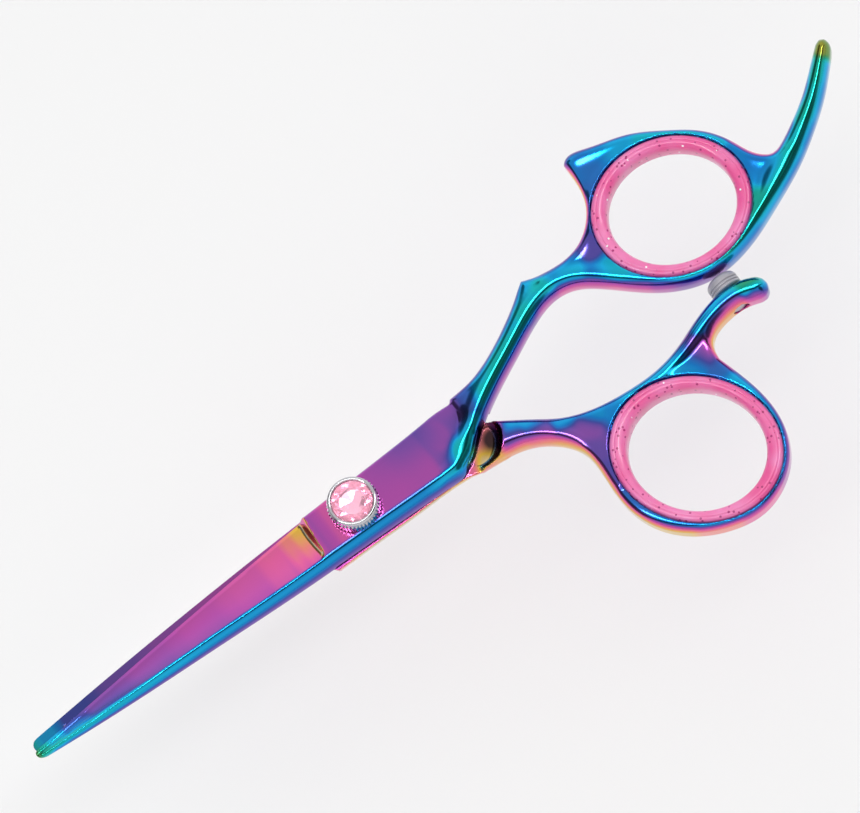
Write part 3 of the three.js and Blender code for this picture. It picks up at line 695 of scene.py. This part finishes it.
def add_dial(silver):
    low, high = cad_box("dial_nut")
    outer = high[0]

    def knurled(radius, turn):
        if radius <= outer - RIDGE_BAND:
            return radius
        ridges = np.abs(((turn / (2 * math.pi) * DIAL_RIDGES) % 1) * 2 - 1)
        return radius - RIDGE_DEPTH * smooth_step(0.35, 0.9, ridges)

    skirt, roof = DIAL_SKIRT
    thread, thread_end = DIAL_THREAD
    dish, dish_bottom = DIAL_DISH
    profile = [(skirt, low[2]), (outer - 0.2, low[2]), (outer, low[2] + 0.15), (outer, high[2] - 0.35),
               (outer - 0.3, high[2] - 0.02), (3.6, high[2]), (dish, high[2]), (POLE, dish_bottom),
               (POLE, thread_end), (thread, thread_end), (thread, roof), (skirt, roof)]
    sides = DIAL_RIDGES * 10
    return lathe("dial_knurled", profile, silver, sides, knurled)


def facet_ring(radius, height, count, half=0):
    """The corners of one level of the crystal's facets, turned by half a facet or not."""
    turn = math.radians(CRYSTAL_TILT) + (np.arange(count) + half / 2) * 2 * math.pi / count
    return np.stack([radius * np.cos(turn), radius * np.sin(turn), np.full(count, height)], 1)


def add_crystal(glass, foil):
    """A brilliant cut: an eight-sided table, star, kite and girdle facets, and a back with a foil on it."""
    low, high = cad_box("crystal")
    star_radius, drop = CRYSTAL_STAR
    foot, thick = GIRDLE
    girdle = low[2] + foot
    ring, ring_height = CRYSTAL_RING
    points = np.vstack([
        facet_ring(CRYSTAL_TABLE, high[2], 8),
        facet_ring(star_radius, high[2] - drop, 8, half=1),
        facet_ring(high[0], girdle + thick, 16),
        facet_ring(high[0], girdle, 16),
        facet_ring(ring, ring_height, 8, half=1),
        [[0, 0, CRYSTAL_POINT]],
    ])
    table, stars, upper, lower, middle, point = 0, 8, 16, 32, 48, 56  # each level's first point
    faces = [list(range(stars))]
    for k in range(8):
        after = (k + 1) % 8
        star = stars + k
        corners = [(2 * k + n) % 16 for n in range(3)]
        g, g_mid, g_after = (upper + corner for corner in corners)
        b, b_mid, b_after = (lower + corner for corner in corners)
        faces.append([table + k, star, table + after])
        faces.append([table + k, stars + (k - 1) % 8, g, star])
        faces.append([star, g, g_mid])
        faces.append([star, g_mid, g_after])
        faces.append([g, b, b_mid, g_mid])
        faces.append([g_mid, b_mid, b_after, g_after])
        faces.append([b, middle + k, b_mid])
        faces.append([b_mid, middle + k, b_after])
        faces.append([b_after, middle + k, middle + after])
        faces.append([middle + k, point, middle + after])
    crystal = make_object("crystal_cut", points, faces, smooth=False)
    crystal.data.materials.append(glass)
    crystal.data.materials.append(foil)
    for face in crystal.data.polygons:
        face.material_index = int(face.center.z / MM < girdle - 0.01)
    return crystal


def add_bezel(silver):
    """A rounded silver cup with a mirror floor that follows the crystal's back."""
    low, high = cad_box("crystal_bezel")
    outer = high[0]
    inner = outer - BEZEL_WALL
    profile = [(outer - 0.2, low[2]), (outer - 0.05, low[2] + 0.08), (outer, low[2] + 0.25),
               (outer, high[2] - 0.4), (outer - 0.06, high[2] - 0.2), (outer - 0.2, high[2] - 0.05),
               (outer - 0.36, high[2]), (outer - 0.55, high[2] - 0.04), (inner, high[2] - 0.16),
               (inner, BEZEL_SEAT), *BEZEL_FLOOR, (DIAL_DISH[0], low[2])]
    return lathe("bezel_polished", profile, silver, sharp=50)


# ---------- materials ----------
# Colour by film thickness, from the thinnest to the thickest.
FILM_COLOURS = [
    (0.00, (0.52, 0.49, 0.44)), (0.10, (0.80, 0.50, 0.05)), (0.20, (0.86, 0.24, 0.20)),
    (0.30, (0.80, 0.12, 0.36)), (0.40, (0.50, 0.08, 0.42)), (0.48, (0.24, 0.08, 0.42)),
    (0.56, (0.05, 0.07, 0.38)), (0.63, (0.00, 0.20, 0.60)), (0.70, (0.00, 0.42, 0.76)),
    (0.78, (0.00, 0.48, 0.50)), (0.86, (0.00, 0.34, 0.22)), (0.93, (0.06, 0.28, 0.08)),
    (1.00, (0.30, 0.30, 0.03)),
]
# x, y, the film on faces seen from above, and the film where they turn over at the edge.
# Near x 21 to 24 and y 1 to 2.6 the marks, with the painted shade there, paint a dark navy reflection at the
# plate's end.
FINGER_FILM = [
    (-63, 0, 0.94, 0.95), (-61.5, 0, 0.82, 0.75), (-59.5, 0, 0.70, 0.62), (-56, 0, 0.55, 0.56),
    (-50, 0, 0.46, 0.5), (-40, 0, 0.42, 0.5), (-30, 0, 0.38, 0.5), (-20, 0, 0.34, 0.5),
    (-14, 0, 0.29, 0.5), (-11.5, 0, 0.20, 0.5), (-9.8, 0, 0.11, 0.5), (-8.6, 0, 0.08, 0.5),
    (-7.4, 0, 0.46, 0.5), (-6.3, 0, 0.40, 0.5), (-4, 0, 0.34, 0.5), (0, 0, 0.38, 0.5),
    (6, 0, 0.41, 0.5), (12, 0, 0.42, 0.5), (17, 1, 0.45, 0.5), (21, 4, 0.47, 0.46), (21, 1, 0.50, 0.5),
    (24, 5, 0.58, 0.46), (24, 2.6, 0.58, 0.5), (19, -3.5, 0.78, 0.6), (22, -1, 0.78, 0.52),
    (28, 5.4, 0.69, 0.46), (27, 1.8, 0.80, 0.46), (30, 3.3, 0.82, 0.42), (36, 8.6, 0.72, 0.46),
    (36, 5.9, 0.81, 0.44), (40, 8.8, 0.81, 0.5), (40, 11, 0.71, 0.46), (42.3, 13, 0.68, 0.6),
    (43, 8.3, 0.70, 0.38), (44, 10.2, 0.80, 0.5), (47, 11.6, 0.65, 0.5), (48, 7.9, 0.66, 0.32),
    (49, 9.6, 0.74, 0.4), (50, 11.7, 0.60, 0.42), (52, 5.4, 0.62, 0.34), (54, 5, 0.74, 0.3),
    (54, 11, 0.54, 0.3), (56.3, 3, 0.76, 0.3), (56, 1.4, 0.62, 0.34), (56, 14.6, 0.60, 0.10),
    (58, 18, 0.60, 0.05), (58.9, 22, 0.62, 0.05), (59.3, 24.4, 0.66, 0.5), (61.5, 22, 0.61, 0.42),
    (64, 23.5, 0.65, 0.42), (68, 22, 0.69, 0.42), (72, 20, 0.75, 0.46), (76, 17.5, 0.78, 0.5),
    (80, 13, 0.74, 0.42), (82, 8, 0.64, 0.24), (83.8, 6, 0.62, 0.10), (86.3, 4.6, 0.68, 0.14),
    (89, 5.4, 0.74, 0.42), (83, 2.5, 0.64, 0.5), (84, 0.6, 0.84, 0.62), (62, -2.4, 0.78, 0.5),
    (60, -2, 0.66, 0.40), (66, -3.4, 0.84, 0.5), (66, -4.5, 0.66, 0.48), (72, -3.6, 0.83, 0.62),
    (74, -4, 0.80, 0.62), (80, -1, 0.84, 0.66), (82, -1.2, 0.82, 0.66), (88, 3.3, 0.84, 0.66),
    (94, 7, 0.84, 0.66), (87.5, 1, 0.8, 0.62), (92, 3.8, 0.8, 0.62), (97, 7.3, 0.82, 0.64),
    (95.5, 9.4, 0.8, 0.5), (99, 11, 0.85, 0.66), (102.6, 14, 1.0, 0.95),
]
# The marks in the scoop, from x 20 to 25, paint its film together with the gold and pale reflections seen in
# it.
THUMB_FILM = [
    (-63, 1, 0.80, 0.6), (-60, 1, 0.68, 0.56), (-55, 1, 0.56, 0.5), (-45, 1, 0.51, 0.46),
    (-35, 1, 0.46, 0.42), (-25, 1, 0.42, 0.38), (-12, 1, 0.40, 0.3), (0, 0, 0.35, 0.04),
    (10, 0, 0.30, 0.05), (16, -6, 0.28, 0.10), (18, -5, 0.28, 0.2), (22, -3, 0.22, 0.05),
    (24.5, -2.8, 0.2, 0.2), (22.5, -5.6, 0.12, 0.1), (20.5, -6.6, 0.02, 0.2), (27, -4, 0.70, 0.46),
    (26, -6.3, 0.60, 0.3), (26, -7.4, 0.42, 0.12), (30, -6.3, 0.70, 0.5), (30, -8.3, 0.54, 0.34),
    (29.7, -9.3, 0.38, 0.12), (34, -9, 0.68, 0.5), (33.2, -12, 0.48, 0.12), (36, -12.5, 0.47, 0.24),
    (34.2, -16, 0.52, 0.06), (38, -10.8, 0.67, 0.5), (44, -11.8, 0.72, 0.6), (42, -12.8, 0.64, 0.5),
    (52, -12, 0.70, 0.6), (55, -11.5, 0.66, 0.5), (57, -12.5, 0.50, 0.4), (57.5, -14.5, 0.47, 0.24),
    (59.6, -14.3, 0.34, 0.06), (60, -10.3, 0.70, 0.5), (62, -11.8, 0.42, 0.10), (62, -9.5, 0.74, 0.6),
    (66, -8.8, 0.78, 0.7), (66, -11.2, 0.38, 0.12), (69.5, -9.3, 0.88, 0.8), (71.2, -9.6, 0.96, 0.85),
    (70.5, -12.2, 0.44, 0.28), (72, -11.6, 0.84, 0.7), (59.3, -17, 0.60, 0.3), (60.5, -22, 0.70, 0.5),
    (61, -28, 0.68, 0.46), (58, -36, 0.66, 0.42), (50, -40, 0.66, 0.3), (43, -39, 0.66, 0.2),
    (36, -34, 0.62, 0.08), (33.7, -27, 0.60, 0.05), (34, -21, 0.54, 0.05), (56, -15, 0.66, 0.5),
]
# Along x: film added on the ground face towards the spine, and the film on the rounded spine itself.
NEAR_SPINE_FILM = ([-62, -56, -40, -14, -11.5, -9.5, -8.5, -7.5],
                   [0, 0.16, 0.07, 0.07, 0.15, 0.25, 0.25, 0])
SPINE_FILM = ([-63, -58, -30, 10, 18], [0.88, 0.77, 0.68, 0.65, 0.78])
HEEL_FILM = 0.02
SEAT_FILM = 0.6
HANDLE_START = [12, 20]  # x where painting along the blade gives way to painting all round
# Each pair holds on the blade and on the handle: how much distance across counts, the least reach of a mark,
# its reach as a share of the distance to the nearest mark, and the slope at which faces start to turn over.
PAINT_ACROSS = [0.12, 1]
PAINT_LEAST = [0.6, 1.1]
PAINT_SHARE = [0.9, 0.5]
TURN_START = [0.78, 0.55]
# Painted shade, where the steel mirrors dark surroundings or lies in shade: x, y, radius and how dark.
HOLLOW_SHADE = (22.6, 1.3, 1.5, 0.55)
SCOOP_SHADE = (23.7, -4.1, 2.0, 1.5)
DARKEST = 0.96
# painted shade over the rear blade, which lies under the front blade
REAR_BLADE_SHADE = 0.3


def painted(points, marks):
    """The film on flat faces and at edges, painted by place from the marks round each point."""
    marks = np.array(marks, float)
    across, least, share = (np.interp(points[:, 0], HANDLE_START, pair)
                            for pair in (PAINT_ACROSS, PAINT_LEAST, PAINT_SHARE))
    apart = np.hypot(points[:, :1] - marks[:, 0], (points[:, 1:2] - marks[:, 1]) * across[:, None])
    reach = np.maximum(least, share * apart.min(1))[:, None]
    weight = np.exp(-((apart / reach) ** 2) / 2)
    return (weight @ marks[:, 2:] / weight.sum(1)[:, None]).T


def turned_over(name, points, normals, flat, edge):
    """From the film on flat faces to the film at the edge, as the surface turns over. The seat round a
    ring's insert stays blue."""
    low, high = cad_box(name + "_ring_insert")
    inward = (low[:2] + high[:2]) / 2 - points[:, :2]
    apart = np.linalg.norm(inward, axis=1)
    seat = smooth_step(0.1, 0.3, (inward * normals[:, :2]).sum(1) / apart) * (apart < RINGS[name][0] + 2)
    edge = edge + seat * (SEAT_FILM - edge)
    tilt = np.hypot(normals[:, 0], normals[:, 1])
    start = np.interp(points[:, 0], HANDLE_START, TURN_START)
    t = np.clip((tilt - start) / (0.99 - start), 0, 1)
    return np.clip(flat + (edge - flat) * t, 0, 1)


def spot(points, x, y, radius, level):
    """A level at one place, fading out round it."""
    return level * np.exp(-((points[:, 0] - x) ** 2 + (points[:, 1] - y) ** 2) / radius**2)


def finger_film(points, normals):
    """The film on the finger half, and the shade painted into its colour in the hollow at the plate's end.
    """
    x, y = points[:, 0], points[:, 1]
    flat, edge = painted(points, FINGER_FILM)
    crest = line_at(x, FRONT_SPINE) + np.interp(x, *SPINE_WIDTH) * 0.95
    far = 1 - np.clip((y - crest) / (line_at(x, FRONT_EDGE, FRONT_SIDE) - crest), 0, 1)
    flat += np.interp(x, *NEAR_SPINE_FILM) * far**1.5
    step = smooth_step(0.15, 0.35, -normals[:, 0]) * smooth_step(-9.9, -9.3, x) * smooth_step(-6, -7, x)
    flat -= step * (flat - HEEL_FILM)
    flat += 0.08 * smooth_step(0, 14, x) * smooth_step(-3, 5, y) * smooth_step(20, 13, x)
    on_spine = smooth_step(0.12, -0.12, y - crest) * smooth_step(19, 17, x)
    flat += on_spine * (np.interp(x, *SPINE_FILM) - flat)
    # painted shade: a dark reflection in the hollow at the plate's end, on the front face only
    hollow = spot(points, *HOLLOW_SHADE) * (points[:, 2] > MIDDLE)
    return turned_over("finger", points, normals, flat, edge), hollow


def thumb_film(points, normals):
    """The film on the thumb half, and the shade painted into its colour: darkest in the scoop that ends the
    overlap, and over the rear blade under the front one.
    """
    x, y, z = points.T
    to_wall = np.hypot(x - LAP_END, y - SCOOP_Y["thumb"]) - SCOOP
    in_scoop = smooth_step(0.1, -0.2, to_wall) * (z > REAR_RIDE - 0.1) * (x > PLATE_END)
    # painted shade and dark reflection in the scoop, under the front half's edge
    scoop = in_scoop * np.minimum(spot(points, *SCOOP_SHADE), DARKEST)
    # painted shade over the rear blade, which lies under the front blade
    blade = REAR_BLADE_SHADE * smooth_step(-8, -20, x)
    return turned_over("thumb", points, normals, *painted(points, THUMB_FILM)), np.maximum(scoop, blade)


def principled(name, colour, metallic, roughness, **more):
    """A material with uniform values, and its node tree and shader."""
    made = bpy.data.materials.new(name)
    made.use_nodes = True
    shader = made.node_tree.nodes["Principled BSDF"]
    shader.inputs["Base Color"].default_value = (*colour, 1)
    shader.inputs["Metallic"].default_value = metallic
    shader.inputs["Roughness"].default_value = roughness
    for key, value in more.items():
        shader.inputs[key.replace("_", " ")].default_value = value
    return made, made.node_tree, shader


def add_node(tree, kind, inputs, **settings):
    """A shader node with its settings. Each input is a value or another node's output."""
    made = tree.nodes.new("ShaderNode" + kind)
    for name, value in settings.items():
        setattr(made, name, value)
    for key, value in inputs.items():
        if isinstance(value, bpy.types.NodeSocket):
            tree.links.new(value, made.inputs[key])
        else:
            made.inputs[key].default_value = value
    return made


def add_ramp(tree, source, stops):
    """The colour that a colour ramp gives for a source."""
    ramp = add_node(tree, "ValToRGB", {"Fac": source})
    elements = ramp.color_ramp.elements
    while len(elements) < len(stops):
        elements.new(1.0)
    for element, (place, colour) in zip(elements, stops):
        element.position = place
        element.color = (*colour, 1)
    return ramp.outputs["Color"]


def add_math(tree, operation, *values):
    """The result of one sum on values or other nodes' outputs."""
    return add_node(tree, "Math", dict(enumerate(values)), operation=operation).outputs[0]


def mixed(tree, share, first, second):
    """Two colours mixed by a share."""
    mix = add_node(tree, "Mix", {"Factor": share, "A": first, "B": second}, data_type="RGBA")
    return mix.outputs["Result"]


def rainbow_steel():
    """Polished steel whose colour follows the film's thickness, darkened by the painted shade."""
    made, tree, shader = principled("rainbow_steel", (0.5, 0.3, 0.8), 1, 0.15, Coat_Weight=0.4,
                                    Coat_Roughness=0.1)
    film, shade = (add_node(tree, "Attribute", {}, attribute_name=name).outputs["Fac"]
                   for name in ("film", "shade"))
    # the shade attribute mixes in near black as painted shade and dark reflection
    colour = mixed(tree, shade, add_ramp(tree, film, FILM_COLOURS), (0.01, 0.005, 0.01, 1))
    tree.links.new(colour, shader.inputs["Base Color"])
    return made


# Flecks in the silicone: cells to a metre, size in a cell, the share of cells without one, and colour.
FLECKS = [(1500, 0.3, 0.72, (0.42, 0.02, 0.16)), (1100, 0.2, 0.9, (1.0, 0.92, 0.96))]


def glitter_silicone():
    """Clear pink silicone with clouds of colour, and dark and white flecks."""
    made, tree, shader = principled("pink_silicone", (0.8, 0.16, 0.42), 0, 0.28, Subsurface_Weight=0.55,
                                    Subsurface_Scale=0.001, Coat_Weight=0.4, Coat_Roughness=0.1)
    shader.inputs["Subsurface Radius"].default_value = (1.2, 0.5, 0.8)
    place = add_node(tree, "TexCoord", {}).outputs["Object"]
    clouds = add_node(tree, "TexNoise", {"Vector": place, "Scale": 160}).outputs["Fac"]
    colour = add_ramp(tree, clouds, [(0.35, (0.80, 0.11, 0.34)), (0.65, (0.84, 0.24, 0.50))])
    for scale, size, share, fleck in FLECKS:
        cells = add_node(tree, "TexVoronoi", {"Vector": place, "Scale": scale}).outputs
        chance = add_node(tree, "SeparateXYZ", {0: cells["Color"]}).outputs["X"]
        near = add_math(tree, "LESS_THAN", cells["Distance"], size)
        chosen = add_math(tree, "GREATER_THAN", chance, share)
        colour = mixed(tree, add_math(tree, "MULTIPLY", near, chosen), colour, (*fleck, 1))
    tree.links.new(colour, shader.inputs["Base Color"])
    return made


# ---------- camera ----------
VIEW_TILT = 17.0  # degrees off square
VIEW_TOWARDS = (-0.18, -0.98)
BLADE_ANGLE = 37.4  # of the blades' axis in the picture
VIEW_WIDTH = 134.24
VIEW_CENTRE = (11.71, 15.69)  # from the pivot, rightward and upward in the picture
LENS = 900.0
SENSOR = 36.0


def add_camera():
    """A long lens that looks down on the front, with the blades' tips at the lower left."""
    sideways = Vector(VIEW_TOWARDS).normalized()
    tilt = math.radians(VIEW_TILT)
    back = Vector((sideways.x * math.sin(tilt), sideways.y * math.sin(tilt), math.cos(tilt)))
    right = Vector((0, 1, 0)).cross(back).normalized()
    up = back.cross(right)
    turn = math.radians(BLADE_ANGLE) - math.atan2(up.x, right.x)
    right, up = (right * math.cos(turn) - up * math.sin(turn), right * math.sin(turn) + up * math.cos(turn))
    target = Vector((0, 0, THICKNESS)) + right * VIEW_CENTRE[0] + up * VIEW_CENTRE[1]
    distance = VIEW_WIDTH * LENS / SENSOR
    camera = bpy.data.objects.new("camera", bpy.data.cameras.new("camera"))
    camera.data.lens = LENS
    camera.data.sensor_width = SENSOR
    camera.data.clip_end = 10
    axes = Matrix((right, up, back)).transposed().to_4x4()
    camera.matrix_world = Matrix.Translation((target + back * distance) * MM) @ axes
    bpy.context.scene.collection.objects.link(camera)
    bpy.context.scene.camera = camera


# ---------- studio ----------
# Brightness of the studio round the blades' axis: down at 0 and 360, +Y's horizon at 90, overhead at 180.
STUDIO = [(0, 0.8), (88, 0.8), (94, 0.95), (120, 1.0), (150, 0.8), (174, 0.72), (177, 1.25), (190, 1.25),
          (194, 0.05), (206, 0.03), (214, 0.7), (240, 0.9), (262, 0.8), (272, 0.8), (360, 0.8)]
STUDIO_PEAK = 1.5
# Dark screens: the way each one is seen in, and the cosines of its soft edge.
SCREENS = [
    ((0.5, -0.71, 0.5), 0.90, 0.97), ((-0.93, 0.25, 0.26), 0.88, 0.96), ((-0.45, 0.75, 0.45), 0.90, 0.96),
]
SCREEN_LEVEL = 0.15
FLOOR = -30  # well below, so that the shears throw next to no shadow
FLOOR_REACH = 3000
# The strip light in metres, and in watts.
STRIP = {"length": 1.6, "width": 0.05, "height": 0.8, "power": 4}


def add_floor():
    corners = [(x * FLOOR_REACH, y * FLOOR_REACH, FLOOR) for x, y in ((-1, -1), (1, -1), (1, 1), (-1, 1))]
    floor = make_object("floor", corners, [(0, 1, 2, 3)])
    floor.data.materials.append(principled("floor", (0.9, 0.9, 0.9), 0, 0.9)[0])


def add_strip():
    """A long soft light overhead that lies along the blades."""
    lamp = bpy.data.lights.new("overhead_strip", "AREA")
    lamp.shape = "RECTANGLE"
    lamp.size = STRIP["length"]
    lamp.size_y = STRIP["width"]
    lamp.energy = STRIP["power"]
    lamp.use_shadow = False
    placed = bpy.data.objects.new("overhead_strip", lamp)
    placed.matrix_world = Matrix.Translation((0, 0, STRIP["height"]))
    bpy.context.scene.collection.objects.link(placed)


def add_studio():
    """A world whose brightness goes round the blades' axis, with the dark screens in front of it."""
    world = bpy.data.worlds.new("studio")
    bpy.context.scene.world = world
    world.use_nodes = True
    tree = world.node_tree
    way = add_node(tree, "TexCoord", {}).outputs["Generated"]
    parts = add_node(tree, "SeparateXYZ", {0: way}).outputs
    angle = add_math(tree, "ARCTAN2", add_math(tree, "MULTIPLY", parts["Y"], -1), parts["Z"])
    turn = add_node(tree, "MapRange", {"Value": angle, "From Min": -math.pi, "From Max": math.pi}).outputs[0]
    colour = add_ramp(tree, turn, [(degrees / 360, [level / STUDIO_PEAK] * 3) for degrees, level in STUDIO])
    for centre, outer, inner in SCREENS:
        ways = {0: way, 1: Vector(centre).normalized()}
        facing = add_node(tree, "VectorMath", ways, operation="DOT_PRODUCT").outputs["Value"]
        edge = {"Value": facing, "From Min": outer, "From Max": inner, "To Min": 1, "To Max": SCREEN_LEVEL}
        soft = add_node(tree, "MapRange", edge, interpolation_type="SMOOTHSTEP").outputs[0]
        colour = add_node(tree, "VectorMath", {0: colour, "Scale": soft}, operation="SCALE").outputs[0]
    background = tree.nodes["Background"]
    tree.links.new(colour, background.inputs["Color"])
    background.inputs["Strength"].default_value = STUDIO_PEAK


# ---------- build ----------
steel = rainbow_steel()
finger = half_plan("finger", (-64.5, -8.5), (106.5, 27), FINGER_OUTLINE, FRONT_OUTLINE,
                   (FINGER_SHANK, FIN_EDGE, FIN_BACK, REST_ROOT))
thumb = half_plan("thumb", (-64.5, -42.5), (74, 7), THUMB_OUTLINE, REAR_OUTLINE, (THUMB_SHANK, THUMB_TOP))
front = add_half("finger_half_polished", lambda *at: finger_field(finger, *at), (-7.5, 25.8), 105,
                 1, steel, finger_film)
rear = add_half("thumb_half_polished", lambda *at: thumb_field(thumb, *at), (-41.6, 6.0), 73.2,
                -1, steel, thumb_film)
settle(front, "finger_half", "finger_blade")
settle(rear, "thumb_half", "thumb_blade")

silicone = glitter_silicone()
settle(add_insert("finger", silicone), "finger_half", "finger_ring_insert")
settle(add_insert("thumb", silicone), "thumb_half", "thumb_ring_insert")
rubber = principled("grey_rubber", (0.46, 0.44, 0.49), 0, 0.3, Transmission_Weight=0.3, Coat_Weight=0.6)[0]
settle(add_bumper(rubber), "thumb_half", "bumper")
silver = principled("bright_steel", (0.58, 0.58, 0.61), 1, 0.08)[0]
settle(add_dial(silver), "tension_dial", "dial_nut")
settle(add_bezel(silver), "tension_dial", "crystal_bezel")
glass = principled("pink_crystal", (1.0, 0.86, 0.92), 0, 0.0, Transmission_Weight=1.0, IOR=1.45)[0]
# The foil's faint pink emission is a painted glow that lifts the crystal's back.
foil, _, foil_shader = principled("crystal_foil_painted_glow", (1.0, 0.58, 0.70), 0.8, 0.1, Emission_Strength=0.15)
foil_shader.inputs["Emission Color"].default_value = (1.0, 0.62, 0.76, 1)
settle(add_crystal(glass, foil), "tension_dial", "crystal")

dull = principled("plain_steel", (0.45, 0.45, 0.46), 1, 0.3)[0]
plastic = principled("white_plastic", (0.85, 0.85, 0.82), 0, 0.4)[0]
for node, finish in (("bumper_stud", dull), ("pivot_screw", silver), ("pivot_bushing", plastic),
                     ("ride_washer", plastic), ("spring_washer", dull), ("click_plate", dull)):
    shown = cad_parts[node]
    shown.data.materials.clear()
    shown.data.materials.append(finish)

bpy.context.scene.view_settings.view_transform = "Standard"
add_floor()
add_studio()
add_strip()
add_camera()
